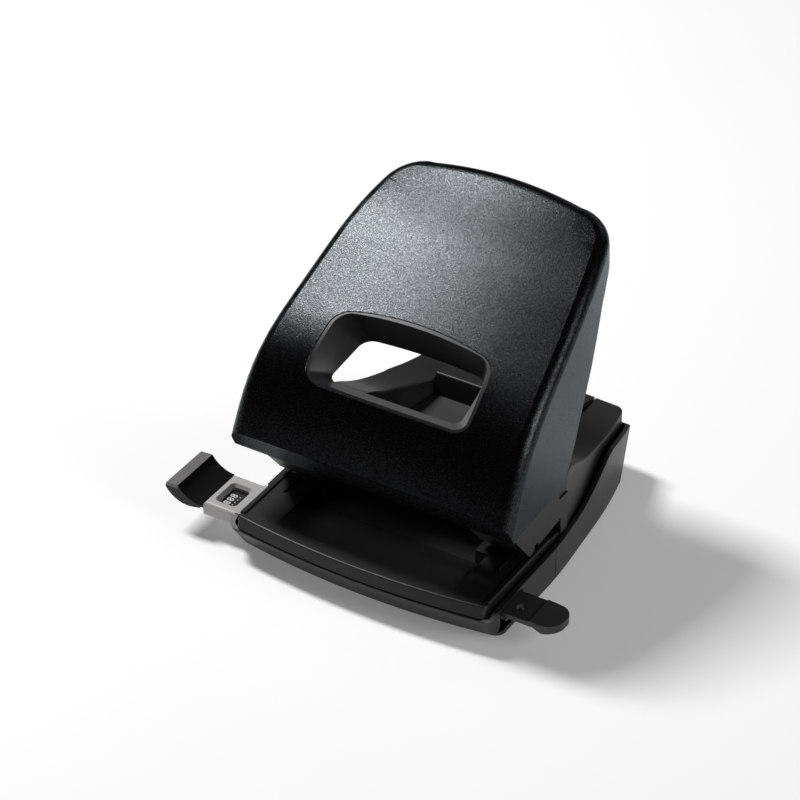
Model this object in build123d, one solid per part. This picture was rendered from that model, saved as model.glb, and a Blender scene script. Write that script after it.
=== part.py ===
from build123d import *
import os
from math import atan2, cos, radians, sin

# A two-hole desk punch. X runs across the punch, Y runs from the paper side to the back,
# Z is up from the table it stands on. The punch pins stand on Y = 0 and X = 0 is the middle.

# ---- driving dimensions, millimetres ----
HOLE_SPACING = 80.0
PIN_X = HOLE_SPACING / 2
PIN_D = 5.5
RUN_FIT = 0.05
TABLE_Z = 18.0
SLOT_TOP_Z = 23.0
PAPER_STOP_Y = 12.0
PIVOT_Y = -17.0
PIVOT_Z = 50.0
AXLE_D = 6.0
ROD_D = 6.0
ROD_ARM = 17.2
ROD_ANGLE = 15.0
PIN_TIP_Z = 23.6
HANDLE_WALL = 2.0
HANDLE_EDGE = 5.0
HANDLE_INNER_EDGE = 4.0
SHELL_WALL = 1.7
COVER_WALL = 2.0
SEAM_Y = 6.0
SEAM_GAP = 0.4
DECK_Z = 12.6
DECK_T = 1.8
BAND_Z = 13.6
RAIL_Y = -26.5
RAIL_W = 14.5
RAIL_Z = 9.7
RAIL_T = 2.2
TRAY_HINGE_Y = -22.0
TRAY_HINGE_Z = 5.3
TRAY_PIN_D = 2.5
MAT_T = 2.0

ROD_Y = PIVOT_Y + ROD_ARM * cos(radians(ROD_ANGLE))
ROD_Z = PIVOT_Z + ROD_ARM * sin(radians(ROD_ANGLE))


# ---- helpers ----
def block(x0, x1, y0, y1, z0, z1):
    """An axis-aligned block between two corners."""
    size = Box(x1 - x0, y1 - y0, z1 - z0, align=(Align.MIN, Align.MIN, Align.MIN))
    return Pos(x0, y0, z0) * size


def rod_x(x0, x1, y, z, d):
    """A round bar along X."""
    bar = Cylinder(d / 2, x1 - x0, align=(Align.CENTER, Align.CENTER, Align.MIN))
    return Pos(x0, y, z) * Rot(0, 90, 0) * bar


def rod_z(x, y, z0, z1, d):
    """An upright round bar."""
    bar = Cylinder(d / 2, z1 - z0, align=(Align.CENTER, Align.CENTER, Align.MIN))
    return Pos(x, y, z0) * bar


def plate_yz(points, x0, x1):
    """A plate cut to a side-view outline of (y, z) points, from x0 to x1."""
    face = make_face(Polyline([(x0, y, z) for y, z in points], close=True))
    return extrude(face, amount=x1 - x0, dir=(1, 0, 0))


def both_sides(solid):
    """The solid and its mirror image across X = 0."""
    return [solid, mirror(solid, about=Plane.YZ)]


def fuse(solids):
    """One shape from several."""
    result = solids[0]
    for solid in solids[1:]:
        result = result + solid
    return result


def rounded(shape, edges, radius):
    """The shape with those edges rounded."""
    return fillet(edges, radius) if edges else shape


def save(name, shape):
    """Write one node's STEP file."""
    os.makedirs("parts", exist_ok=True)
    export_step(shape, os.path.join("parts", name + ".step"))


# ---- handle ----
# Crowned face: (y, height on the middle line, drop at the two sides) from front to back.
FACE = [(-52, 19.5, 3.0), (-44, 37.5, 3.0), (-36, 54.6, 3.2), (-26, 74.2, 4.6), (-14, 87.2, 5.0),
        (4, 98.2, 4.8), (32, 113.2, 4.4), (50, 120.7, 4.0), (76, 128.4, 4.4)]
# Plan outline: (y, half width low on the wall, half width at face height).
SIDES = [(-60, 59.1, 59.0), (-28, 59.0, 58.4), (-19, 58.6, 57.4), (2, 57.5, 54.3), (30, 54.9, 51.2),
         (54, 51.0, 46.6)]
HANDLE_LOW_Z = 38.0
HANDLE_HIGH_Z = 134.0
HANDLE_TOP_Y = 68.0
HANDLE_TOP_CORNER_Y = 66.4
HANDLE_TOP_CORNER_X = 33.0
# Lower edge of the handle in side view, from the front lip round to the top edge.
HANDLE_LIP = [(-35.6, 51.4), (-31.4, 43.0)]
HANDLE_REAR = [(-28.0, 43.9), (-7.2, 43.5), (2.4, 42.9), (7.3, 43.3), (11.2, 45.3), (14.6, 49.8),
               (18.6, 54.8), (23.9, 63.3), (35.0, 78.5),
               (47.0, 97.8), (61.0, 112.6), (66.0, 116.4), (90.0, 122.0)]


def face_block(inset):
    """Everything under the crowned face, lowered by the inset."""
    half = 75.0
    sections = []
    for y, z, drop in FACE:
        top = z - inset * 1.5 if y < -20 else z - inset * 1.15
        fall = drop * (half / 58.0) ** 2
        arc = ThreePointArc((-half, y, top - fall), (0, y, top), (half, y, top - fall))
        sides = Polyline((half, y, top - fall), (half, y, -40), (-half, y, -40), (-half, y, top - fall))
        sections.append(make_face(Wire([arc] + list(sides.edges()))))
    return loft(sections)


def plan_wire(z, column, inset):
    """The handle's outline seen from above, at one height."""
    right = [(row[column] - inset, row[0]) for row in SIDES]
    top_x = HANDLE_TOP_CORNER_X - inset
    top_y = HANDLE_TOP_CORNER_Y - inset
    narrow = (column - 1) * 3.0
    side = Spline([(x, y, z) for x, y in right])
    corner_from = (right[-1][0], right[-1][1])
    corner_to = (top_x - narrow, top_y)
    kink = (corner_from[0] - 1.5, top_y - 1.5)
    middle = (0.25 * corner_from[0] + 0.5 * kink[0] + 0.25 * corner_to[0],
              0.25 * corner_from[1] + 0.5 * kink[1] + 0.25 * corner_to[1])
    corner = ThreePointArc((*corner_from, z), (*middle, z), (*corner_to, z))
    top = ThreePointArc((corner_to[0], corner_to[1], z), (0, HANDLE_TOP_Y - inset, z),
                        (-corner_to[0], corner_to[1], z))
    left_corner = mirror(corner, about=Plane.YZ)
    left_side = mirror(side, about=Plane.YZ)
    front = Line((-right[0][0], right[0][1], z), (right[0][0], right[0][1], z))
    return make_face(Wire([side.edge(), corner.edge(), top.edge(), left_corner.edge(),
                           left_side.edge(), front.edge()]))


def handle_blank(inset):
    """The handle as a solid block, drawn in by the inset on every side."""
    walls = loft([plan_wire(HANDLE_LOW_Z, 1, inset), plan_wire(HANDLE_HIGH_Z, 2, inset)], ruled=True)
    return walls & face_block(inset)


def handle_trim():
    """Everything below and behind the handle's lower edge."""
    outline = [(-80, 118.9), (-80, 0), (120, 0), (120, 128)]
    outline = outline + HANDLE_REAR[::-1] + HANDLE_LIP[::-1]
    return plate_yz(outline, -90, 90)


def top_edges(blank):
    """The edges where the crowned face meets the side, corner and top walls."""
    found = []
    for edge in blank.edges():
        box = edge.bounding_box()
        if box.max.Z > 115 and box.max.Z - box.min.Z < 90 and edge.geom_type != GeomType.CIRCLE:
            upright = box.max.X - box.min.X < 6 and box.max.Y - box.min.Y < 1
            if not upright:
                found.append(edge)
    return found


# Window through the face: a frame on the slope, wider at the bottom, with an arched top.
WINDOW_LOW = (-26.3, 74.6)
WINDOW_HIGH = (2.4, 97.0)
WINDOW_LEN = ((WINDOW_HIGH[0] - WINDOW_LOW[0]) ** 2 + (WINDOW_HIGH[1] - WINDOW_LOW[1]) ** 2) ** 0.5
WINDOW_HALF_LOW = 37.4
WINDOW_HALF_HIGH = 34.4
REAR_LOW = (-18.2, 73.6)
REAR_HIGH = (9.0, 80.0)
REAR_HALF_LOW = 29.0
REAR_HALF_HIGH = 27.0
WINDOW_ARCH = 4.4
DUCT_WALL = 1.4


def slope_plane(low, high, lift):
    """A plane through two (y, z) points: its X runs across, its Y runs up the slope."""
    tilt = atan2(high[1] - low[1], high[0] - low[0])
    plane = Plane(origin=(0, low[0], low[1]), x_dir=(1, 0, 0), z_dir=(0, -sin(tilt), cos(tilt)))
    return plane.offset(lift)


def window_face(plane, low, high, y0, y1, arch, r_low, r_high, grow):
    """A rounded window outline with an arched top edge."""
    base = Polyline((-high - grow, y1), (-low - grow, y0 - grow), (low + grow, y0 - grow), (high + grow, y1))
    top = ThreePointArc((high + grow, y1), (0, y1 + arch + grow), (-high - grow, y1))
    face = make_face(Wire(list(base.edges()) + [top.edge()]))
    face = fillet(face.vertices().sort_by(Axis.Y)[:2], r_low + grow)
    face = fillet(face.vertices().sort_by(Axis.Y)[-2:], r_high + grow)
    return plane * face


def window_taper(grow):
    """The solid that the finger window and its tapering duct are made from."""
    front = window_face(slope_plane(WINDOW_LOW, WINDOW_HIGH, 3.5), WINDOW_HALF_LOW, WINDOW_HALF_HIGH,
                        0, WINDOW_LEN - WINDOW_ARCH, WINDOW_ARCH, 6, 9, grow)
    rear_len = ((REAR_HIGH[0] - REAR_LOW[0]) ** 2 + (REAR_HIGH[1] - REAR_LOW[1]) ** 2) ** 0.5
    rear = window_face(slope_plane(REAR_LOW, REAR_HIGH, 0), REAR_HALF_LOW, REAR_HALF_HIGH,
                       0, rear_len - 3.0, 3.0, 5, 7, grow)
    return loft([front, rear], ruled=True)


outer = handle_blank(0)
outer = rounded(outer, top_edges(outer), HANDLE_EDGE)
inner = handle_blank(HANDLE_WALL)
inner = rounded(inner, top_edges(inner), HANDLE_INNER_EDGE)
trim = handle_trim()
lip_line = [(-80, 118.9), HANDLE_LIP[1], (HANDLE_LIP[1][0] + 1.8, HANDLE_LIP[1][1] + 1.2), (-80, 124.0)]
lip = (plate_yz(lip_line, -90, 90) & outer) - plate_yz([(-80, 62), (0, 62), (0, 140), (-80, 140)], -90, 90)
cover = (outer - inner - trim) + (lip - trim)

# Pillars under the face that the steel lever is screwed to.
LEVER_TILT = 28.0
LEVER_TOP = (27.0, 99.0)
LEVER_T = 2.0
PILLAR_D = 7.0
PILLAR_X = (-30.0, 0.0, 30.0)
SCREW_D = 3.0


def lever_frame(x):
    """A place on the lever's cross plate, its Z square to the plate."""
    return Pos(x, LEVER_TOP[0], LEVER_TOP[1]) * Rot(LEVER_TILT, 0, 0)


pillars = []
for x in PILLAR_X:
    pillar = lever_frame(x) * rod_z(0, 0, LEVER_T / 2 + 0.05, 16, PILLAR_D)
    pillars.append((pillar & outer) - (lever_frame(x) * rod_z(0, 0, 0, 6, SCREW_D)))
cover = fuse([cover] + pillars) - window_taper(0.25)
save("handle_cover", cover)

sleeve = (window_taper(0) - window_taper(-DUCT_WALL)) & face_block(0.35)
save("handle_window_sleeve", sleeve)

# ---- steel lever, press rod and pivot axle ----
ARM_X = 47.4
ARM_T = 2.0
arm_outline = [(-25.0, 50.0), (-23.0, 44.6), (-17.0, 42.0), (-10.6, 44.4), (4.0, 50.0), (8.0, 57.0),
               (26.0, 82.0), (34.5, 100.4), (33.0, 102.8), (18.5, 96.4), (-12.0, 57.6), (-19.0, 57.8)]
arm = plate_yz(arm_outline, ARM_X, ARM_X + ARM_T)
arm = arm - rod_x(ARM_X - 1, ARM_X + ARM_T + 1, PIVOT_Y, PIVOT_Z, AXLE_D + 2 * RUN_FIT)
arm = arm - rod_x(ARM_X - 1, ARM_X + ARM_T + 1, ROD_Y, ROD_Z, ROD_D)
cross = lever_frame(0) * Box(2 * ARM_X + 2, 15, LEVER_T)
for x in PILLAR_X:
    cross = cross - lever_frame(x) * rod_z(0, 0, -3, 3, SCREW_D + 0.4)
save("handle_lever", fuse(both_sides(arm) + [cross]))
save("press_rod", rod_x(-ARM_X - ARM_T, ARM_X + ARM_T, ROD_Y, ROD_Z, ROD_D))

lever_screws = []
for x in PILLAR_X:
    shank = rod_z(0, 0, -LEVER_T / 2, 5.5, SCREW_D)
    head = rod_z(0, 0, -LEVER_T / 2 - 1.8, -LEVER_T / 2, 5.6)
    slot = Pos(0, 0, -LEVER_T / 2 - 1.8) * (Box(4, 0.8, 1.2) + Box(0.8, 4, 1.2))
    lever_screws.append(lever_frame(x) * (shank + head - slot))
save("lever_screws", Compound(children=lever_screws))

AXLE_HALF = 51.2
GROOVE_X = 50.0
CLIP_T = 0.7
GROOVE_D = 4.6
axle = rod_x(-AXLE_HALF, AXLE_HALF, PIVOT_Y, PIVOT_Z, AXLE_D)
groove = rod_x(GROOVE_X, GROOVE_X + CLIP_T, PIVOT_Y, PIVOT_Z, AXLE_D + 1)
groove = groove - rod_x(GROOVE_X, GROOVE_X + CLIP_T, PIVOT_Y, PIVOT_Z, GROOVE_D)
for cut in both_sides(groove):
    axle = axle - cut
save("pivot_axle", axle)


def clip_x(x):
    """A flat retaining clip round the axle, open downwards."""
    ring = rod_x(x, x + CLIP_T, PIVOT_Y, PIVOT_Z, 10) - rod_x(x, x + CLIP_T, PIVOT_Y, PIVOT_Z, GROOVE_D)
    return ring - block(x - 1, x + 2, PIVOT_Y - 1.9, PIVOT_Y + 1.9, PIVOT_Z - 8, PIVOT_Z)


save("axle_clips", Compound(children=both_sides(clip_x(GROOVE_X))))

# ---- punch units: brackets, dies, pins, clips and springs ----
BRACKET_T = 1.5
FOOT_Z = DECK_Z + DECK_T + 0.2
DIE_D = 10.0
GUIDE_Z = 25.4
GUIDE_T = 2.0
BRACKET_REAR_Y = 15.8
BRACKET_SCREW_Y = (-7.3, 11.2)
BRACKET_SCREW_D = 2.6


def bracket(centre):
    """A folded steel frame: two cheeks, a foot, a pin guide and a back web."""
    outline = [(-11.0, FOOT_Z), (BRACKET_REAR_Y, FOOT_Z), (BRACKET_REAR_Y, 36.0), (-2.0, 36.0),
               (-10.6, 47.2), (-11.2, 53.0), (-17.0, 56.5), (-22.8, 53.0), (-22.0, 45.0),
               (-17.0, 37.0), (-7.2, GUIDE_Z), (12.9, GUIDE_Z), (12.9, FOOT_Z + BRACKET_T),
                 (-11.0, FOOT_Z + BRACKET_T)]
    left = centre - 5.5
    right = centre + 5.5
    cheek_a = plate_yz(outline, left, left + BRACKET_T)
    cheek_b = plate_yz(outline, right - BRACKET_T, right)
    foot = block(left, right, -11.0, BRACKET_REAR_Y, FOOT_Z, FOOT_Z + BRACKET_T)
    guide = block(left + 0.5, right - 0.5, -6.6, BRACKET_REAR_Y - 1, GUIDE_Z, GUIDE_Z + GUIDE_T)
    web = block(left + 0.5, right - 0.5, BRACKET_REAR_Y - BRACKET_T, BRACKET_REAR_Y, FOOT_Z, 36.0)
    body = fuse([cheek_a, cheek_b, foot, guide, web])
    body = body - rod_x(left - 1, right + 1, PIVOT_Y, PIVOT_Z, AXLE_D)
    body = body - rod_z(centre, 0, GUIDE_Z - 1, GUIDE_Z + GUIDE_T + 1, PIN_D + 2 * RUN_FIT)
    body = body - rod_z(centre, 0, FOOT_Z - 1, FOOT_Z + BRACKET_T + 1, DIE_D)
    for y in BRACKET_SCREW_Y:
        body = body - rod_z(centre, y, FOOT_Z - 1, FOOT_Z + BRACKET_T + 1, BRACKET_SCREW_D)
    return body


def die(centre):
    """A hardened ring, flush with the paper table, that the pin cuts against."""
    ring = rod_z(centre, 0, FOOT_Z, TABLE_Z - 0.1, DIE_D)
    relief = rod_z(centre, 0, FOOT_Z - 1, FOOT_Z + 1.6, PIN_D + 1.4)
    return ring - rod_z(centre, 0, FOOT_Z - 1, TABLE_Z + 1, PIN_D + 2 * RUN_FIT) - relief


PIN_TOP_Z = ROD_Z - ROD_D / 2 - 0.2
COLLAR_Z = 46.4
COLLAR_T = 1.2
COLLAR_D = 9.0
PIN_GROOVE_D = 4.4
SPRING_R = 3.4
SPRING_WIRE = 0.9
SPRING_TURNS = 7


def pin(centre):
    """A hollow-ground punch pin with a domed head and a clip groove."""
    body = rod_z(centre, 0, PIN_TIP_Z, PIN_TOP_Z, PIN_D)
    head = body.edges().filter_by(GeomType.CIRCLE).sort_by(Axis.Z)[-1]
    body = fillet([head], 1.6)
    notch = rod_z(centre, 0, COLLAR_Z, COLLAR_Z + COLLAR_T, PIN_D + 1)
    notch = notch - rod_z(centre, 0, COLLAR_Z, COLLAR_Z + COLLAR_T, PIN_GROOVE_D)
    hollow = Pos(centre, 0, PIN_TIP_Z - 7.5) * Rot(0, 90, 0) * Cylinder(8.4, 20)
    return body - notch - hollow


def spring(centre):
    """An open compression spring between the pin guide and the collar."""
    low = GUIDE_Z + GUIDE_T + SPRING_WIRE / 2 + 0.05
    high = COLLAR_Z - SPRING_WIRE / 2 - 0.05
    height = high - low
    path = Helix(pitch=height / SPRING_TURNS, height=height, radius=SPRING_R)
    start = path @ 0
    section = Plane(origin=start, z_dir=path % 0) * Circle(SPRING_WIRE / 2)
    return Pos(centre, 0, low) * sweep(section, path=path)


def collar(centre):
    """The clip on the pin that the spring pushes against."""
    ring = rod_z(centre, 0, COLLAR_Z, COLLAR_Z + COLLAR_T, COLLAR_D)
    return ring - rod_z(centre, 0, COLLAR_Z, COLLAR_Z + COLLAR_T, PIN_GROOVE_D)


for side, centre in (("left", -PIN_X), ("right", PIN_X)):
    save("punch_bracket_" + side, bracket(centre))
    save("punch_die_" + side, die(centre))
    save("punch_pin_" + side, pin(centre))
    save("pin_collar_" + side, collar(centre))
    save("return_spring_" + side, spring(centre))

# ---- lower shell: one flared outline, split into the front base and the chip tray ----
# Half outline seen from above, on the floor and at the flare height, front to back.
FLARE_Z = 30.0
SIDE_LINE = [(56.2, -12.5), (55.8, 10.5), (54.1, 28.5), (52.0, 48.0)]
FLOOR_HALF = {"front_mid": -39.4, "front_corner": (52.6, -35.0), "rear_corner": (43.5, 75.0), "rear_mid": 76.4,
              "side": [(56.2, -30.0)] + SIDE_LINE + [(47.9, 70.2)]}
FLARE_HALF = {"front_mid": -57.4, "front_corner": (54.4, -54.2), "rear_corner": (40.6, 89.6), "rear_mid": 91.2,
              "side": [(56.9, -48.5)] + SIDE_LINE + [(44.9, 85.6)]}
RIM_TOP = [(-70, 13.0), (-42.0, 13.0), (-37.0, 15.4), (SEAM_Y, 15.8), (25, 16.4), (33, 17.4), (42, 20.2),
           (49, 23.0), (55, 25.2), (60, 25.8), (79, 21.9), (83, 20.8), (86, 18.8), (100, 18.2)]
RIM_LIFT = 0.9


def corner_arc(start, end, knee, z):
    """A rounded corner from start to end that bulges towards the knee point."""
    middle = [0.22 * start[i] + 0.56 * knee[i] + 0.22 * end[i] for i in (0, 1)]
    return ThreePointArc((*start, z), (*middle, z), (*end, z))


def shell_wire(half, z, inset):
    """The lower shell's outline at one height."""
    fx, fy = half["front_corner"][0] - inset, half["front_corner"][1] + inset
    rx, ry = half["rear_corner"][0] - inset, half["rear_corner"][1] - inset
    side = [(x - inset, y) for x, y in half["side"]]
    front = ThreePointArc((-fx, fy, z), (0, half["front_mid"] + inset, z), (fx, fy, z))
    rear = ThreePointArc((-rx, ry, z), (0, half["rear_mid"] - inset, z), (rx, ry, z))
    front_corner = corner_arc((fx, fy), side[0], (side[0][0] - 0.5, fy + 0.3), z)
    rear_corner = corner_arc(side[-1], (rx, ry), (side[-1][0] - 1.2, ry - 0.2), z)
    flank = Spline([(x, y, z) for x, y in side])
    right = [front_corner, flank, rear_corner]
    left = [mirror(curve, about=Plane.YZ) for curve in right]
    edges = [front.edge(), rear.edge()] + [curve.edge() for curve in right + left]
    return make_face(Wire(edges))


def shell_blank(inset, z0=MAT_T):
    """The lower shell as a flared block, drawn in by the inset."""
    flared = loft([shell_wire(FLOOR_HALF, MAT_T, inset), shell_wire(FLARE_HALF, FLARE_Z, inset)], ruled=True)
    return flared & block(-90, 90, -90, 120, z0, FLARE_Z)


rim_cut = plate_yz(RIM_TOP + [(100, 60), (-70, 60)], -90, 90)
shell_outer = shell_blank(0, MAT_T)
shell_outer = shell_outer - rim_cut
shell_inner = shell_blank(SHELL_WALL)
ring = shell_outer - shell_inner
raised_rim = [(y, z + RIM_LIFT) for y, z in RIM_TOP]
above_rim = plate_yz(raised_rim + [(100, 60), (-70, 60)], -90, 90)
rim_zone = shell_blank(-1.5) - above_rim - shell_blank(SHELL_WALL + 0.5)

FLOOR_T = 1.8
TRAY_FLOOR_TOP = MAT_T + FLOOR_T
LUG_IN = 42.0
LUG_GAP = 46.0
LUG_OUT = 49.5
LUG_CLEAR = 0.4
TRAY_FRONT_Y = TRAY_HINGE_Y - 3.0
BASE_FLOOR_Y = TRAY_HINGE_Y - 5.0
DECK_HALF = [(50.5, -11.6), (50.2, 6.0), (49.6, 20.0), (47.0, 40.0), (44.0, 60.0), (40.0, 74.0)]
CUT_HALF = 34.0
SHELF_Z = 7.8
SHELF_T = 1.6
BRACKET_SCREWS = [(side * PIN_X, y) for side in (-1, 1) for y in BRACKET_SCREW_Y]
TABLE_SCREWS = [(-48.4, -4.0), (48.4, -4.0)]
TABLE_SCREW_D = 2.0

deck_line = [(x, y) for x, y in DECK_HALF] + [(-x, y) for x, y in DECK_HALF[::-1]]
deck = Pos(0, 0, DECK_Z) * extrude(make_face(Polyline(deck_line, close=True)), amount=DECK_T)
deck = deck - block(-CUT_HALF, CUT_HALF, -20, PAPER_STOP_Y + 0.9, 0, 20)
shelf = block(-54.5, 54.5, -40, -10.0, SHELF_Z, SHELF_Z + SHELF_T) & shell_inner
riser = block(CUT_HALF, 50.5, -11.6, -10.0, SHELF_Z, DECK_Z + DECK_T)
front_floor = block(-60, 60, -40, BASE_FLOOR_Y, MAT_T, TRAY_FLOOR_TOP) & shell_blank(1.0)
deck_webs = block(-56, 56, -16.0, -10.0, SHELF_Z, SHELF_Z + SHELF_T) & shell_blank(1.0)
side_webs = block(50, 56, -10.5, -8.0, SHELF_Z, BAND_Z - 0.3) & shell_blank(1.0)
front_half = block(-90, 90, -90, SEAM_Y, 0, 60)
rear_half = block(-90, 90, SEAM_Y + SEAM_GAP, 120, 0, 60)
hinge_lug = block(LUG_GAP + LUG_CLEAR, LUG_OUT, TRAY_HINGE_Y - 2.2, TRAY_HINGE_Y + 2.2,
                  TRAY_HINGE_Z - 2.0, SHELF_Z + 0.2)
hinge_hole = rod_x(LUG_GAP, LUG_OUT + 0.1, TRAY_HINGE_Y, TRAY_HINGE_Z, TRAY_PIN_D)

# The format guide runs across the base just under the table's front.
PORT_TOP = 14.1
GUIDE_Y0 = RAIL_Y - RAIL_W / 2
GUIDE_Y1 = RAIL_Y + RAIL_W / 2
SLEEVE_Y0 = RAIL_Y - 9.75
SLEEVE_Y1 = RAIL_Y + 11.3
SLEEVE_TOP = 14.6
SLEEVE_IN_X = -47.0
SLEEVE_WALL_X = -57.0
SLEEVE_OUT_X = -71.2
rail_port = block(50, 62, GUIDE_Y0 - 1.6, GUIDE_Y1 + 0.5, TRAY_FLOOR_TOP + 0.4, PORT_TOP)
sleeve_port = block(-62, -50, SLEEVE_Y0 - 0.15, SLEEVE_Y1 + 0.15, SHELF_Z + SHELF_T, 30)

POSTS = [(44.0, 24.0), (38.0, 62.0), (15.0, 73.0)]
POST_D = 7.0
POST_TOP = 16.8
posts = []
for x, y in POSTS:
    post = rod_z(x, y, DECK_Z + DECK_T - 0.2, POST_TOP, POST_D)
    posts.extend(both_sides(post))
DETENT_Y = GUIDE_Y1 + 0.15
detent_wall = block(2, 28, DETENT_Y + 1.8, DETENT_Y + 3.0, SHELF_Z + 0.5, RAIL_Z + RAIL_T)
base = (ring & front_half) + shelf + front_floor + detent_wall
paired = both_sides(riser) + both_sides(side_webs) + both_sides(hinge_lug)
base = fuse([base, deck, deck_webs] + paired + posts)
base = base - rail_port - sleeve_port
for solid in both_sides(hinge_hole):
    base = base - solid
for x, y in POSTS:
    for cut in both_sides(rod_z(x, y, DECK_Z - 1, POST_TOP + 1, 3.0)):
        base = base - cut
for x, y in BRACKET_SCREWS:
    base = base - rod_z(x, y, DECK_Z - 1, FOOT_Z, 2.6)
for centre in (-PIN_X, PIN_X):
    base = base - rod_z(centre, 0, DECK_Z - 1, FOOT_Z + 1, PIN_D + 3)
for x, y in TABLE_SCREWS:
    base = base - rod_z(x, y, DECK_Z - 1, FOOT_Z + 1, 2.6)
save("base_shell", base)

# ---- chip tray, its hinge pins and its mat ----
tray_floor = block(-53.0, 53.0, TRAY_FRONT_Y, 80, MAT_T, TRAY_FLOOR_TOP) & shell_blank(SHELL_WALL + 0.5)
rear_floor = shell_outer & block(-90, 90, SEAM_Y + SEAM_GAP, 120, MAT_T, TRAY_FLOOR_TOP)
tray_lug = block(LUG_IN, LUG_GAP, TRAY_HINGE_Y - 2.1, TRAY_HINGE_Y + 2.1, MAT_T, TRAY_HINGE_Z)
tray_lug = tray_lug + rod_x(LUG_IN, LUG_GAP, TRAY_HINGE_Y, TRAY_HINGE_Z, 4.2)
lug_notch = block(LUG_GAP, LUG_OUT + 0.6, TRAY_FRONT_Y - 1, TRAY_HINGE_Y + 5, 0, 10)
curb = block(-48, 48, -17.4, -16.2, TRAY_FLOOR_TOP - 0.1, 7.0)
curb = fuse([curb] + both_sides(block(46.8, 48, -17.0, SEAM_Y + 6, TRAY_FLOOR_TOP - 0.1, 7.0)))
tray = fuse([(ring & rear_half), tray_floor, rear_floor, curb] + both_sides(tray_lug))
for cut in both_sides(lug_notch):
    tray = tray - cut
for cut in both_sides(rod_x(LUG_IN - 1, LUG_GAP + 1, TRAY_HINGE_Y, TRAY_HINGE_Z, TRAY_PIN_D + 2 * RUN_FIT)):
    tray = tray - cut
save("chip_tray", tray)
tray_pin = rod_x(LUG_IN + 0.2, LUG_OUT, TRAY_HINGE_Y, TRAY_HINGE_Z, TRAY_PIN_D)
save("tray_hinge_pins", Compound(children=both_sides(tray_pin)))

MAT_POINTS = [(48.0, -19.0), (49.0, 10.0), (46.5, 40.0), (42.0, 64.0), (36.0, 70.0)]
mat_line = MAT_POINTS + [(-x, y) for x, y in MAT_POINTS[::-1]]
save("tray_mat", extrude(make_face(Polyline(mat_line, close=True)), amount=MAT_T))
front_foot = Pos(38, -30.2, 0) * extrude(Ellipse(7, 2.2), amount=MAT_T)
save("front_feet", Compound(children=both_sides(front_foot)))


# ---- paper table with its finger recess and paper stop ----
TABLE_HALF = 53.2
TABLE_REAR_Y = 12.8
TABLE_T = 1.8
RECESS_HALF = 38.0
RECESS_FRONT_Y = -38.0
RECESS_REAR_Y = -12.6
DEEP_HALF = 32.6
DEEP_Z = 11.8
RECESS_R = 57.0
RECESS_SKIN = 1.0


def table_wire(z, half, corner_y, mid_y, rear_y):
    """The table's outline at one height, with a bowed front."""
    front = ThreePointArc((-half, corner_y, z), (0, mid_y, z), (half, corner_y, z))
    rest = Polyline((half, corner_y, z), (half, rear_y, z), (-half, rear_y, z), (-half, corner_y, z))
    return make_face(Wire([front.edge()] + list(rest.edges())))


def table_blank(inset, top):
    """The table as a solid block with a sloping front band."""
    low = table_wire(BAND_Z, TABLE_HALF - 0.2 - inset, -41.7 + inset, -45.8 + inset, TABLE_REAR_Y)
    high = table_wire(top, TABLE_HALF - inset, -40.0 + inset, -44.3 + inset, TABLE_REAR_Y)
    return loft([low, high], ruled=True)


def recess_drum(shrink):
    """The drum whose top gives the recess floor its curve."""
    return rod_x(-60, 60, RECESS_FRONT_Y, TABLE_Z - RECESS_R, 2 * (RECESS_R - shrink))


table = table_blank(0, TABLE_Z)
corner_edges = [e for e in table.edges() if abs(abs(e.center().X) - TABLE_HALF) < 0.4 and e.length < 6
                and e.center().Y < 0]
table = fillet(corner_edges, 2.0)
front_top = [e for e in table.edges() if e.center().Z > TABLE_Z - 0.01 and e.center().Y < -20]
table = fillet(front_top, 0.7)
side_bead = block(TABLE_HALF - 2.4, TABLE_HALF, -38.0, 7.0, TABLE_Z - 1, TABLE_Z + 0.7)
bead_edges = [e for e in side_bead.edges() if e.center().Z > TABLE_Z + 0.6 and e.length > 20]
side_bead = fillet(bead_edges, 0.65)
rib = block(45.7, 46.3, -19.0, -8.0, TABLE_Z - 0.5, TABLE_Z + 0.8)
stop_wall = block(-50.2, 50.2, PAPER_STOP_Y, TABLE_REAR_Y, TABLE_Z - 1, 24.4)
table = fuse([table] + both_sides(side_bead) + both_sides(rib) + [stop_wall])
hollow = block(-TABLE_HALF + 1.8, TABLE_HALF - 1.8, -60, TABLE_REAR_Y - 0.8, 0, TABLE_Z - TABLE_T)
hollow = hollow & table_blank(1.8, TABLE_Z + 4)
recess = block(-RECESS_HALF, RECESS_HALF, RECESS_FRONT_Y, RECESS_REAR_Y, 5, TABLE_Z + 2) - recess_drum(0)
deep = block(-DEEP_HALF, DEEP_HALF, RECESS_REAR_Y - 0.1, PAPER_STOP_Y, DEEP_Z, TABLE_Z + 2)
skin_side = RECESS_HALF + RECESS_SKIN
skin = block(-skin_side, skin_side, RECESS_FRONT_Y, RECESS_REAR_Y + RECESS_SKIN, 5, TABLE_Z - 0.2)
skin = skin - recess_drum(RECESS_SKIN)
deep_side = DEEP_HALF + RECESS_SKIN - 0.3
deep_skin = block(-deep_side, deep_side, RECESS_REAR_Y, TABLE_REAR_Y, DEEP_Z - RECESS_SKIN, TABLE_Z - 0.2)
floor_limit = block(-60, 60, -60, 60, SHELF_Z + SHELF_T + 0.2, TABLE_Z - 0.2)
table = (table - hollow) + (skin & floor_limit) + deep_skin - recess - deep
foot_room = block(deep_side + 0.05, 50.9, RECESS_REAR_Y + RECESS_SKIN, 30, 0, FOOT_Z + BRACKET_T + 0.1)
for cut in both_sides(foot_room):
    table = table - cut
for x, y in TABLE_SCREWS:
    table = table + rod_z(x, y, DECK_Z + DECK_T, TABLE_Z - 0.5, 4.2)
    table = table - rod_z(x, y, DECK_Z, TABLE_Z - 1.0, TABLE_SCREW_D)
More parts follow.
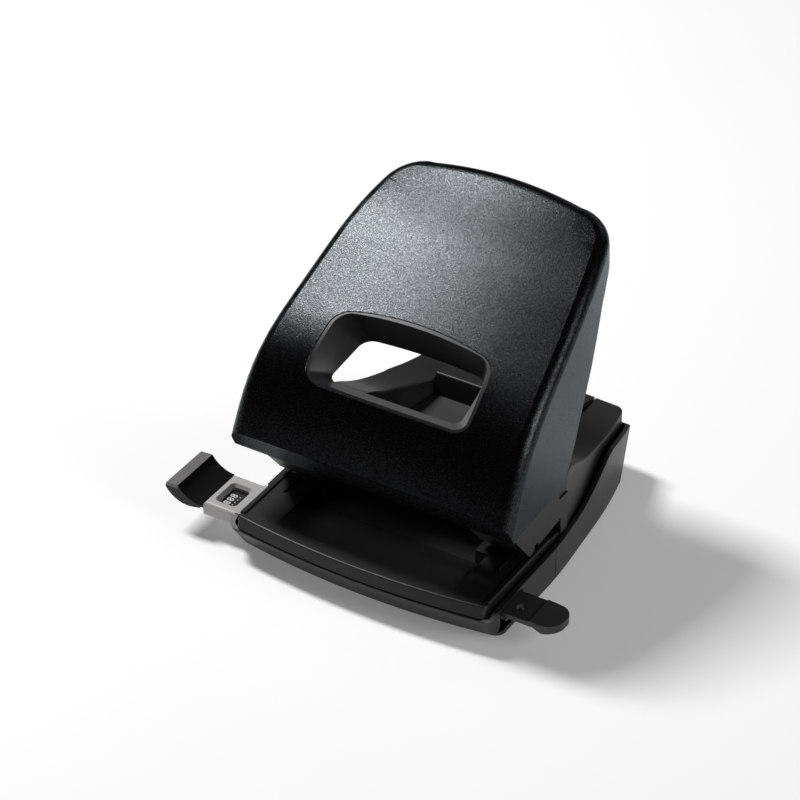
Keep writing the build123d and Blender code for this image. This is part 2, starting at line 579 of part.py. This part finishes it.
for centre in (-PIN_X, PIN_X):
    table = table - rod_z(centre, 0, 5, TABLE_Z + 1, DIE_D + 0.3)
table = table - block(-60, -40, SLEEVE_Y0 - 0.2, SLEEVE_Y1 + 0.2, 5, SLEEVE_TOP + 0.15)
table = table - block(40, 60, GUIDE_Y0 - 0.3, GUIDE_Y1 + 0.3, 5, PORT_TOP)
save("paper_table", table)

# ---- wing covers either side of the well ----
WING_LOW_Z = 15.6
WING_OUT = [(53.8, 10.0), (53.2, 17.0), (51.6, 27.0), (49.7, 39.0), (47.3, 54.0), (44.7, 69.0), (42.6, 79.0)]
WING_REAR = (38.5, 83.6)
WING_IN = [(37.2, 17.0), (37.0, 30.0), (34.5, 45.0), (29.1, 61.0), (29.1, 84.0)]
WING_TOP = [(8.0, 43.2), (17.0, 42.6), (25.0, 40.3), (34.0, 36.0), (49.0, 31.3), (64.0, 28.3), (76.0, 27.0),
            (90.0, 28.0)]
JAW_TOP = (-27.2, 42.8)
JAW_TIP = (-9.9, 21.4)
# Lower edge of the cheek over the paper slot: (y, z) from the tip to the paper stop.
CHEEK_EDGE = [JAW_TIP, (-6.6, 22.0), (-6.3, 24.2), (-3.8, 24.2), (-3.6, 22.6), (12.9, 24.4),
              (13.1, WING_LOW_Z)]
# The cheek steps in behind the handle's side, which comes down past it when pressed.
RELIEF_X = 53.1
RELIEF_Y = 11.5
RELIEF_Z = 33.5


def wing_top(drop):
    """Everything under the wing's sagging top line."""
    line = Spline([(0, y, z - drop) for y, z in WING_TOP])
    first = line @ 0
    last = line @ 1
    low = Polyline(last, (0, last.Y, -10), (0, first.Y, -10), first)
    section = make_face(Wire([line.edge()] + list(low.edges())))
    return Pos(-5, 0, 0) * extrude(section, amount=80, dir=(1, 0, 0))


def wing_plan(inset, front_y):
    """The wing's outline from above as a tall block."""
    out = [(x - inset, y) for x, y in WING_OUT if y >= front_y]
    out = [(WING_OUT[1][0] - inset, front_y)] + [p for p in out if p[1] > front_y]
    inner = [(x + inset, max(y, front_y)) for x, y in WING_IN]
    inner[-1] = (inner[-1][0], inner[-1][1] - inset)
    rear = (WING_REAR[0], WING_REAR[1] - inset)
    flank = Spline(out)
    corner = ThreePointArc(out[-1], (out[-1][0] - 0.9, rear[1] - 1.4), rear)
    back = Polyline([rear, inner[-1]] + inner[-2::-1] + [out[0]])
    edges = [flank.edge(), corner.edge()] + list(back.edges())
    return extrude(make_face(Wire(edges)), amount=60)


wing = wing_plan(0, 17.0) & wing_top(0) & block(0, 60, 0, 100, WING_LOW_Z, 60)
nose = [e for e in wing.edges() if e.center().Y < 17.1 and e.center().Z > 40]
wing = fillet(nose, 4.0)
knee = [e for e in wing.edges().filter_by(Axis.Z) if abs(e.center().Y - WING_IN[-2][1]) < 0.1]
wing = fillet(knee, 4.0)
crest = [e for e in wing.edges() if e.center().Z > 24 and e.length > 8 and e.bounding_box().size.Y > 8
         and e.center().Y > 20]
wing_plain = wing
wing = rounded(wing, crest, 0.8)
core = wing_plan(COVER_WALL, 17.0 + COVER_WALL) & wing_top(COVER_WALL) & block(0, 60, 0, 100, 0, 60)
wing = wing - core
cheek = plate_yz([JAW_TOP] + CHEEK_EDGE + [(18.0, WING_LOW_Z), (18.0, 42.4), (8.0, 43.0)], 51.9, 53.8)
jaw = block(33.0, 52.1, JAW_TIP[0] + 1.0, PAPER_STOP_Y - 0.3, SLOT_TOP_Z, SLOT_TOP_Z + COVER_WALL)
jaw_front = plate_yz([JAW_TOP, JAW_TIP, (JAW_TIP[0] + 2.4, JAW_TIP[1] + 0.5), (-10.2, 25.0),
                      (JAW_TOP[0] + 2.6, JAW_TOP[1])], 33.0, 52.1)
cheek = cheek - block(RELIEF_X, 60, RELIEF_Y, 20, RELIEF_Z, 60)
wing = fuse([wing, cheek, jaw, jaw_front])
wing = wing - rod_z(PIN_X, 0, SLOT_TOP_Z - 1, SLOT_TOP_Z + COVER_WALL + 1, PIN_D + 2.5)
for x, y in POSTS[:2]:
    boss = (rod_z(x, y, POST_TOP, 60, POST_D) - rod_z(x, y, POST_TOP - 1, POST_TOP + 7, 2.4)) & wing_plain
    wing = wing + boss
wing = wing - rim_zone
for side, shape in zip(("right", "left"), both_sides(wing)):
    save("wing_cover_" + side, shape)

# ---- centre cover: the well between the wings and the block behind it ----
WELL_HALF = [(28.8, 84.4), (28.8, 60.8), (34.1, 45.0), (36.6, 30.0), (36.6, 17.2)]
well_line = [(84.2, 15.8), (84.2, 27.6), (62.0, 31.4), (60.4, 22.0), (48.0, 20.0), (17.2, 17.2),
             (17.2, 15.4), (48.4, 18.2), (62.0, 20.4), (63.6, 29.2), (82.4, 25.9), (82.4, 15.8)]
centre = plate_yz(well_line, -40, 40)
well_plan = WELL_HALF + [(-x, y) for x, y in WELL_HALF[::-1]]
centre = centre & extrude(make_face(Polyline(well_plan, close=True)), amount=60)
crest = [e for e in centre.edges() if e.length > 50 and e.center().Z > 26.8 and e.center().Y < 85]
centre = fillet(crest, 1.0)
for x, y in POSTS[2:]:
    tube = rod_z(x, y, POST_TOP, 28.4, POST_D) - rod_z(x, y, POST_TOP - 1, POST_TOP + 7, 2.4)
    for boss in both_sides(tube):
        centre = centre + boss
centre = centre - rim_zone
save("centre_cover", centre)

# ---- screws under the deck ----


def screw(x, y, z, length, d):
    """A pan-head screw driven upwards, its head under z."""
    head = rod_z(x, y, z - 1.5, z, 2 * d)
    slot = Pos(x, y, z - 1.5) * (Box(1.5 * d, 0.7, 1.2) + Box(0.7, 1.5 * d, 1.2))
    return rod_z(x, y, z, z + length, d) + head - slot


cover_screws = [screw(sign * x, y, DECK_Z, POST_TOP - DECK_Z + 6, 2.4) for x, y in POSTS for sign in (1, -1)]
save("cover_screws", Compound(children=cover_screws))
bracket_screws = [screw(x, y, DECK_Z, FOOT_Z + BRACKET_T - DECK_Z, 2.6) for x, y in BRACKET_SCREWS]
save("bracket_screws", Compound(children=bracket_screws))
table_screws = [screw(x, y, DECK_Z, 4.2, TABLE_SCREW_D) for x, y in TABLE_SCREWS]
save("table_screws", Compound(children=table_screws))

# ---- sliding format guide ----
RAIL_LEFT_X = -80.0
RAIL_RIGHT_X = 56.0
TAB_X = 53.0
TAB_STEP_X = 66.8
TAB_END_X = 77.8
TAB_LOW_Z = 11.2
TAB_TOP_Z = 13.1
TIP_TOP_Z = 13.6
TAB_HOLE = (60.6, RAIL_Y - 1.0, 3.6)
rail = block(RAIL_LEFT_X, RAIL_RIGHT_X, GUIDE_Y0, GUIDE_Y1, RAIL_Z, RAIL_Z + RAIL_T)
tab = block(TAB_X, TAB_STEP_X, GUIDE_Y0, GUIDE_Y1, TAB_LOW_Z, TAB_TOP_Z)
front_arc = ThreePointArc((71.2, GUIDE_Y0), (75.8, -31.4), (TAB_END_X, -25.6))
rear_arc = ThreePointArc((TAB_END_X, -25.6), (76.9, -21.4), (73.2, GUIDE_Y1))
tip_step_x = TAB_STEP_X - 0.1
tip_rest = Polyline((73.2, GUIDE_Y1), (tip_step_x, GUIDE_Y1), (tip_step_x, GUIDE_Y0), (71.2, GUIDE_Y0))
tip = extrude(make_face(Wire([front_arc.edge(), rear_arc.edge()] + list(tip_rest.edges()))), amount=20)
tip_profile = make_face(Polyline((TAB_STEP_X - 0.1, 0, TAB_LOW_Z), (TAB_STEP_X + 2.0, 0, TAB_LOW_Z),
                                 (TAB_STEP_X + 5.5, 0, RAIL_Z), (TAB_END_X + 1, 0, RAIL_Z),
                                 (TAB_END_X + 1, 0, TIP_TOP_Z - 0.8), (TAB_STEP_X + 0.4, 0, TIP_TOP_Z),
                                 (TAB_STEP_X - 0.1, 0, TAB_TOP_Z), close=True))
tip = tip & (Pos(0, -60, 0) * extrude(tip_profile, amount=100, dir=(0, 1, 0)))
rail = fuse([rail, tab, tip]) - rod_z(TAB_HOLE[0], TAB_HOLE[1], 5, 20, TAB_HOLE[2])
save("guide_rail", rail)
save("format_label", block(-68.0, 14.0, RAIL_Y - 5.6, RAIL_Y + 5.6, RAIL_Z + RAIL_T, RAIL_Z + RAIL_T + 0.12))

sleeve_out = block(SLEEVE_OUT_X, SLEEVE_WALL_X, SLEEVE_Y0, SLEEVE_Y1, 8.4, SLEEVE_TOP)
out_edges = [e for e in sleeve_out.edges() if e.center().X < -60 and abs(e.center().Z - 11.5) > 2.5]
sleeve_out = fillet(out_edges, 1.4)
sleeve_low = SHELF_Z + SHELF_T + 0.05
sleeve_in = block(SLEEVE_WALL_X - 0.1, SLEEVE_IN_X, SLEEVE_Y0, SLEEVE_Y1, sleeve_low, SLEEVE_TOP)
channel = block(-80, 0, GUIDE_Y0 - 0.3, GUIDE_Y1 + 0.3, RAIL_Z - 0.2, RAIL_Z + RAIL_T + 0.35)
format_window = block(-67.6, -60.2, RAIL_Y - 5.6, RAIL_Y + 5.8, RAIL_Z, 30)
format_window = fillet(format_window.edges().filter_by(Axis.Z), 1.2)
bevel = extrude(RectangleRounded(9.4, 13.0, 2.0), amount=-1.6, taper=32)
window_bevel = Pos(-63.9, RAIL_Y + 0.1, SLEEVE_TOP) * bevel
save("format_sleeve", sleeve_out + sleeve_in - channel - format_window - window_bevel)

STOP_HALF = 11.6
STOP_IN_X = -71.5
STOP_CREST_X = -81.2
STOP_OUT_X = -86.4
slope = ThreePointArc((STOP_IN_X, 0, 14.0), (-77.2, 0, 15.7), (STOP_CREST_X, 0, 19.6))
top = Polyline(slope @ 1, (STOP_OUT_X, 0, 19.1), (STOP_OUT_X - 0.4, 0, 17.4))
belly = ThreePointArc(top @ 1, (-82.4, 0, 13.2), (-75.5, 0, 12.0))
heel = Polyline(belly @ 1, (STOP_IN_X, 0, 12.8), slope @ 0)
stop_face = make_face(Wire([slope.edge(), belly.edge()] + list(top.edges()) + list(heel.edges())))
stop = Pos(0, RAIL_Y - STOP_HALF, 0) * extrude(stop_face, amount=2 * STOP_HALF, dir=(0, 1, 0))
pad_cut = block(-88.0, STOP_CREST_X, RAIL_Y - 15, RAIL_Y + 15, 17.9, 24)
pad = stop & pad_cut
stop = stop - pad_cut
stop = stop + block(RAIL_LEFT_X - 1.0, STOP_IN_X, GUIDE_Y0 - 0.85, GUIDE_Y1 + 0.85, RAIL_Z + 0.6, 13.2)
stop = stop - block(RAIL_LEFT_X, -60, GUIDE_Y0, GUIDE_Y1, RAIL_Z, RAIL_Z + RAIL_T)
save("end_stop", stop)
save("end_stop_pad", pad)

detent_line = Polyline((4, DETENT_Y + 1.4), (13, DETENT_Y), (17, DETENT_Y), (26, DETENT_Y + 1.4),
                       (26, DETENT_Y + 1.8), (17, DETENT_Y + 0.4), (13, DETENT_Y + 0.4), (4, DETENT_Y + 1.8),
                       close=True)
save("rail_detent_spring", Pos(0, 0, RAIL_Z + 0.2) * extrude(make_face(detent_line), amount=RAIL_T - 0.4))
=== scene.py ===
"""The looks of a two-hole desk punch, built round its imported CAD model. Metres, same frame as the CAD."""

import math

import bmesh
import bpy
from mathutils import Matrix, Vector


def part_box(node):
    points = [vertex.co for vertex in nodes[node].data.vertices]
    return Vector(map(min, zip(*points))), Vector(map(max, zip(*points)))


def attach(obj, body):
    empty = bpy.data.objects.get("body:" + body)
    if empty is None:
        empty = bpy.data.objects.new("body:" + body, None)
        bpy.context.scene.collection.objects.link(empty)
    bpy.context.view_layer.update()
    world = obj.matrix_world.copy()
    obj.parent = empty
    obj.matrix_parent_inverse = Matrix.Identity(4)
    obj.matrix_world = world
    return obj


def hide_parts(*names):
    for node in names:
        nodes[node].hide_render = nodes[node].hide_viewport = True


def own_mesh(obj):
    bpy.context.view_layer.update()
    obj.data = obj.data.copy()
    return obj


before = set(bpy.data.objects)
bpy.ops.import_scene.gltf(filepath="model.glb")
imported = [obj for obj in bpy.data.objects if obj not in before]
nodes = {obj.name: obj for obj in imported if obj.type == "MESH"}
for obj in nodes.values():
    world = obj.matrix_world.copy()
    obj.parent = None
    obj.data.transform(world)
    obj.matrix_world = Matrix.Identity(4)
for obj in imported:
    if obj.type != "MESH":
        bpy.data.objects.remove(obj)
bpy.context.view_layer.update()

# ---- camera, in the row frame ----
CAMERA_AT = (0.5243, -0.8688, 0.7690)
CAMERA_RIGHT = (0.8530, 0.5219, 0.0)
CAMERA_UP = (-0.2974, 0.4862, 0.8217)
CAMERA_BACK = (0.4288, -0.7009, 0.5699)
CAMERA_LENS = 153.05
CAMERA_SENSOR = 36.0
CAMERA_NEAR = 0.05
CAMERA_FAR = 20.0


def add_camera():
    """The photographed view."""
    data = bpy.data.cameras.new("view")
    data.lens = CAMERA_LENS
    data.sensor_width = CAMERA_SENSOR
    data.clip_start = CAMERA_NEAR
    data.clip_end = CAMERA_FAR
    camera = bpy.data.objects.new("view", data)
    turn = Matrix((CAMERA_RIGHT, CAMERA_UP, CAMERA_BACK)).transposed()
    camera.matrix_world = Matrix.Translation(CAMERA_AT) @ turn.to_4x4()
    bpy.context.scene.collection.objects.link(camera)
    bpy.context.scene.camera = camera


# ---- node helpers ----
def new_material(name):
    """An empty node material with its shader and output."""
    material = bpy.data.materials.new(name)
    material.use_nodes = True
    tree = material.node_tree
    shader = tree.nodes["Principled BSDF"]
    return material, tree, shader


def add(tree, kind, **inputs):
    """A node of that kind, with its named inputs set."""
    node = tree.nodes.new(kind)
    for key, value in inputs.items():
        node.inputs[key.replace("_", " ")].default_value = value
    return node


def place(tree, stretch=(1, 1, 1)):
    """Object coordinates, stretched."""
    coords = tree.nodes.new("ShaderNodeTexCoord")
    mapping = tree.nodes.new("ShaderNodeMapping")
    mapping.inputs["Scale"].default_value = stretch
    tree.links.new(coords.outputs["Object"], mapping.inputs["Vector"])
    return mapping.outputs["Vector"]


def noise(tree, scale, detail=2.0, roughness=0.5, stretch=(1, 1, 1)):
    """A noise texture's factor."""
    node = add(tree, "ShaderNodeTexNoise", Scale=scale, Detail=detail, Roughness=roughness)
    tree.links.new(place(tree, stretch), node.inputs["Vector"])
    return node.outputs["Factor"] if "Factor" in node.outputs else node.outputs["Fac"]


def span(tree, value, low, high, to_low, to_high):
    """The value's low to high carried over to another range."""
    node = add(tree, "ShaderNodeMapRange")
    for key, number in (("From Min", low), ("From Max", high), ("To Min", to_low), ("To Max", to_high)):
        node.inputs[key].default_value = number
    tree.links.new(value, node.inputs["Value"])
    return node.outputs["Result"]


def ramp(tree, value, stops):
    """The value as a colour: (place, colour) stops."""
    node = tree.nodes.new("ShaderNodeValToRGB")
    elements = node.color_ramp.elements
    while len(elements) < len(stops):
        elements.new(0.5)
    for element, (at, colour) in zip(elements, stops):
        element.position = at
        element.color = (*colour, 1.0)
    tree.links.new(value, node.inputs["Fac"])
    return node.outputs["Color"]


def bump(tree, height, depth):
    """A bump normal from a height."""
    node = add(tree, "ShaderNodeBump", Distance=depth, Strength=1.0)
    tree.links.new(height, node.inputs["Height"])
    return node.outputs["Normal"]


def grey(value, tint=(1.0, 1.0, 1.0)):
    """A grey with a slight tint."""
    return tuple(value * part for part in tint)


# ---- materials ----
WARM = (1.03, 1.0, 0.985)
COOL = (0.94, 1.0, 1.05)
NEUTRAL = (1.0, 0.99, 1.0)
# A noise's useful range, away from its rare lowest and highest values.
DARK_END = 0.3
LIGHT_END = 0.7
CLOUD_SCALE = 55.0
CLOUD_SHARE = 0.35
GRAIN_SHARE = 0.65
MIX_DARK = 0.25
MIX_LIGHT = 0.8
SMOOTHER = 0.04
ROUGHER = 0.05
FLAKE_SCALE = 1900.0
FLECK_SCALE = 2600.0
FLECK_DEPTH = 0.00007
FLAKE_GREYS = ((DARK_END, 0.010), (0.50, 0.025), (LIGHT_END, 0.060))
FLECK_ROUGHNESS = (0.21, 0.32)
EDGE_SHEEN = (0.78, 0.82, 0.84, 1.0)
METAL_LINE_SCALE = 600.0
METAL_LINE_DEPTH = 0.000012
METAL_CLOUD_SCALE = 60.0
METAL_DARK_SHARE = 0.82
METAL_SMOOTHER = 0.06
METAL_ROUGHER = 0.1


def moulded(name, low, high, rough, grain_scale, grain_depth, tint=(1, 1, 1), specular=0.5):
    """Moulded plastic: fine grain in colour, roughness and surface."""
    material, tree, shader = new_material(name)
    fine = noise(tree, grain_scale, 3.0, 0.6)
    cloud = noise(tree, CLOUD_SCALE, 3.0, 0.5)
    mixed = add(tree, "ShaderNodeMath")
    mixed.operation = "MULTIPLY_ADD"
    mixed.inputs[1].default_value = CLOUD_SHARE
    tree.links.new(cloud, mixed.inputs[0])
    tree.links.new(span(tree, fine, DARK_END, LIGHT_END, 0.0, GRAIN_SHARE), mixed.inputs[2])
    stops = [(MIX_DARK, grey(low, tint)), (MIX_LIGHT, grey(high, tint))]
    colour = ramp(tree, mixed.outputs[0], stops)
    tree.links.new(colour, shader.inputs["Base Color"])
    roughness = span(tree, fine, DARK_END, LIGHT_END, rough - SMOOTHER, rough + ROUGHER)
    tree.links.new(roughness, shader.inputs["Roughness"])
    tree.links.new(bump(tree, fine, grain_depth), shader.inputs["Normal"])
    shader.inputs["Specular IOR Level"].default_value = specular
    return material


def metallic_grain():
    """The handle's finish: a dark satin in which fine flakes sparkle."""
    material, tree, shader = new_material("handle_grain")
    flake = noise(tree, FLAKE_SCALE, 2.0, 0.65)
    fleck = noise(tree, FLECK_SCALE, 2.0, 0.6)
    greys = [(at, grey(value, COOL)) for at, value in FLAKE_GREYS]
    tree.links.new(ramp(tree, flake, greys), shader.inputs["Base Color"])
    roughness = span(tree, fleck, DARK_END, LIGHT_END, *FLECK_ROUGHNESS)
    tree.links.new(roughness, shader.inputs["Roughness"])
    tree.links.new(bump(tree, fleck, FLECK_DEPTH), shader.inputs["Normal"])
    shader.inputs["Metallic"].default_value = 1.0
    shader.inputs["Specular Tint"].default_value = EDGE_SHEEN
    return material


def metal(name, value, rough, stretch, tint=(1, 1, 1)):
    """Steel with a directional finish."""
    material, tree, shader = new_material(name)
    lines = noise(tree, METAL_LINE_SCALE, 4.0, 0.6, stretch)
    cloud = noise(tree, METAL_CLOUD_SCALE, 3.0, 0.5)
    stops = [(DARK_END, grey(value * METAL_DARK_SHARE, tint)), (LIGHT_END, grey(value, tint))]
    tree.links.new(ramp(tree, cloud, stops), shader.inputs["Base Color"])
    roughness = span(tree, lines, DARK_END, LIGHT_END, rough - METAL_SMOOTHER, rough + METAL_ROUGHER)
    tree.links.new(roughness, shader.inputs["Roughness"])
    tree.links.new(bump(tree, lines, METAL_LINE_DEPTH), shader.inputs["Normal"])
    shader.inputs["Metallic"].default_value = 1.0
    return material


HANDLE = metallic_grain()
DUCT = moulded("window_duct", 0.014, 0.018, 0.40, 1300.0, 0.00002, COOL, 0.4)
BODY = moulded("body_plastic", 0.006, 0.009, 0.46, 1400.0, 0.00004, NEUTRAL)
TRAY = moulded("tray_plastic", 0.008, 0.012, 0.44, 1400.0, 0.00004, NEUTRAL)
PAD = moulded("stop_pad", 0.09, 0.18, 0.62, 1500.0, 0.00010, WARM)
STOP = moulded("stop_gloss", 0.002, 0.004, 0.34, 1200.0, 0.00001, specular=0.25)
SLEEVE = moulded("sleeve_grey", 0.42, 0.47, 0.45, 1200.0, 0.00002, WARM)
RAIL = moulded("rail_black", 0.022, 0.030, 0.46, 1200.0, 0.00002)
LABEL = moulded("label_black", 0.006, 0.009, 0.35, 1200.0, 0.000005)
PRINT = moulded("label_print", 0.62, 0.68, 0.50, 1200.0, 0.000005)
RUBBER = moulded("mat_rubber", 0.018, 0.026, 0.72, 800.0, 0.00008)
ZINC = metal("zinc_steel", 0.62, 0.32, (1, 1, 14), tint=(0.99, 1.0, 1.02))
GROUND = metal("ground_steel", 0.66, 0.2, (30, 1, 1))
TOOL = metal("tool_steel", 0.55, 0.24, (1, 1, 30))
DARK = metal("dark_steel", 0.16, 0.38, (1, 1, 1))
WIRE = metal("spring_wire", 0.5, 0.26, (1, 1, 1))

FINISH = {
    "handle_cover": HANDLE,
    "handle_window_sleeve": DUCT,
    "base_shell": BODY,
    "paper_table": BODY,
    "wing_cover_left": BODY,
    "wing_cover_right": BODY,
    "centre_cover": BODY,
    "chip_tray": TRAY,
    "end_stop": STOP,
    "end_stop_pad": PAD,
    "format_sleeve": SLEEVE,
    "guide_rail": RAIL,
    "format_label": LABEL,
    "front_feet": RUBBER,
    "tray_mat": RUBBER,
    "handle_lever": ZINC,
    "punch_bracket_left": ZINC,
    "punch_bracket_right": ZINC,
    "pivot_axle": GROUND,
    "press_rod": GROUND,
    "tray_hinge_pins": GROUND,
    "punch_pin_left": TOOL,
    "punch_pin_right": TOOL,
    "punch_die_left": TOOL,
    "punch_die_right": TOOL,
    "return_spring_left": WIRE,
    "return_spring_right": WIRE,
    "rail_detent_spring": WIRE,
}
for name, piece in nodes.items():
    piece.data.materials.clear()
    piece.data.materials.append(FINISH.get(name, DARK))


def add_spring(side):
    """A copy of the CAD coil, riding the base, shown in place of the CAD node."""
    node_name = "return_spring_" + side
    source = nodes[node_name]
    coil = bpy.data.objects.new("spring_coil_" + side, source.data.copy())
    bpy.context.scene.collection.objects.link(coil)
    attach(coil, "base")
    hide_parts(node_name)
    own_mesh(coil)


add_spring("left")
add_spring("right")


# ---- print on the format label ----
DIGITS = "888"
DIGIT_SIZE = 0.0040
DIGIT_SPACE = 1.2
DIGIT_BOLD = 0.00006
DIGIT_AT = (-0.0652, -0.0266)
PRINT_LIFT = 0.00004
DOT_COUNT = 4
DOT_STEP = 0.0017
DOT_HALF = 0.00025
SQUARE = ((-1, -1), (1, -1), (1, 1), (-1, 1))
DOT_SHIFT = 0.0024


def add_print():
    """The format mark in the sleeve's window, and a row of dots beside it."""
    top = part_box("format_label")[1][2] + PRINT_LIFT
    text = bpy.data.curves.new("format_digits", "FONT")
    text.body = DIGITS
    text.size = DIGIT_SIZE
    text.align_x = "CENTER"
    text.align_y = "CENTER"
    text.offset = DIGIT_BOLD
    text.space_character = DIGIT_SPACE
    digits = bpy.data.objects.new("format_digits", text)
    digits.location = (*DIGIT_AT, top)
    digits.rotation_euler = (0, 0, math.pi / 2)
    bpy.context.scene.collection.objects.link(digits)
    digits.data.materials.append(PRINT)
    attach(digits, "guide")
    dots = bmesh.new()
    for index in range(DOT_COUNT):
        y = DIGIT_AT[1] + (index - (DOT_COUNT - 1) / 2) * DOT_STEP
        x = DIGIT_AT[0] + DOT_SHIFT
        corners = [(x + a * DOT_HALF, y + b * DOT_HALF, top) for a, b in SQUARE]
        dots.faces.new([dots.verts.new(corner) for corner in corners])
    mesh = bpy.data.meshes.new("format_dots")
    dots.to_mesh(mesh)
    dots.free()
    marks = bpy.data.objects.new("format_dots", mesh)
    bpy.context.scene.collection.objects.link(marks)
    mesh.materials.append(PRINT)
    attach(marks, "guide")


add_print()


# ---- stage ----
AIM = (0, 0.01, 0.06)
# Name, place, width and height, and power in watts.
LIGHTS = (
    ("key", (-0.74, 0.09, 1.11), (0.20, 0.42), 16.0),
    ("right", (1.45, 0.05, 0.75), (0.7, 0.7), 9.0),
    ("behind", (0.1, 1.5, 0.9), (1.2, 0.6), 1.6),
)
FLOOR_SIZE = 12
FLOOR_GREYS = (0.86, 0.88)
FLOOR_CLOUD_SCALE = 3.0
FLOOR_ROUGHNESS = 0.8
FLOOR_GLOW = 0.18
WORLD_LIGHT = 0.03
WHITE = (1, 1, 1, 1)


def stage():
    """A pale floor and a pale surround; the soft studio lights are added by softbox."""
    bpy.ops.mesh.primitive_plane_add(size=FLOOR_SIZE, location=(0, 0, 0))
    floor = bpy.context.object
    floor.name = "floor"
    material, tree, shader = new_material("floor_pale")
    stops = [(DARK_END, grey(FLOOR_GREYS[0])), (LIGHT_END, grey(FLOOR_GREYS[1]))]
    colour = ramp(tree, noise(tree, FLOOR_CLOUD_SCALE), stops)
    tree.links.new(colour, shader.inputs["Base Color"])
    shader.inputs["Roughness"].default_value = FLOOR_ROUGHNESS
    shader.inputs["Emission Color"].default_value = WHITE
    shader.inputs["Emission Strength"].default_value = FLOOR_GLOW
    floor.data.materials.append(material)
    world = bpy.data.worlds.new("studio")
    bpy.context.scene.world = world
    world.use_nodes = True
    background = world.node_tree.nodes["Background"]
    background.inputs["Color"].default_value = WHITE
    background.inputs["Strength"].default_value = WORLD_LIGHT
    bpy.context.scene.view_settings.view_transform = "Standard"


def softbox(name, at, size, power):
    """A rectangular area light aimed at the punch."""
    data = bpy.data.lights.new(name, "AREA")
    data.shape = "RECTANGLE"
    data.size, data.size_y = size
    data.energy = power
    light = bpy.data.objects.new(name, data)
    light.location = at
    light.rotation_euler = (Vector(AIM) - Vector(at)).to_track_quat("-Z", "Y").to_euler()
    bpy.context.scene.collection.objects.link(light)


add_camera()
stage()
for light in LIGHTS:
    softbox(*light)
